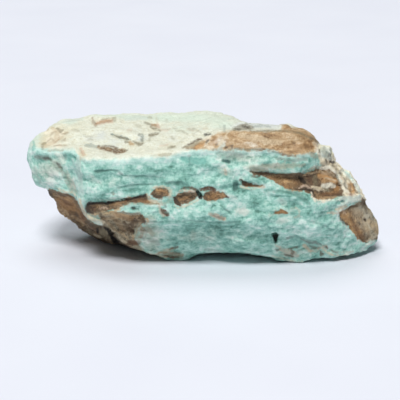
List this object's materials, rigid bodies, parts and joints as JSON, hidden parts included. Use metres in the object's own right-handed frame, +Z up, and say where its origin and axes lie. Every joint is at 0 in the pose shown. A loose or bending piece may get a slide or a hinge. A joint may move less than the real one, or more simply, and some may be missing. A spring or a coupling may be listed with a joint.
{
  "type": "raw chrysoprase",
  "caption": "Hand-sized lump of raw green chrysoprase with a pale weathered top and brown host rock in its hollows, for display lying on a surface.",
  "frame": {"origin": "middle of the stone's footprint box, on the surface it lies on", "axes": "+X along the stone's length, towards its low pointed end; +Z up; the flat green face with the brown hollows faces -Y"},
  "size_m": [0.0981, 0.0448, 0.0378],
  "materials": {
    "chrysoprase_stone": "broken raw stone: waxy blue-green faces, cream weathered crust on top, ochre to dark brown host rock in the hollows and at the lower left"
  },
  "bodies": {
    "root": {"chrysoprase": "chrysoprase_stone"}
  },
  "joints": []
}
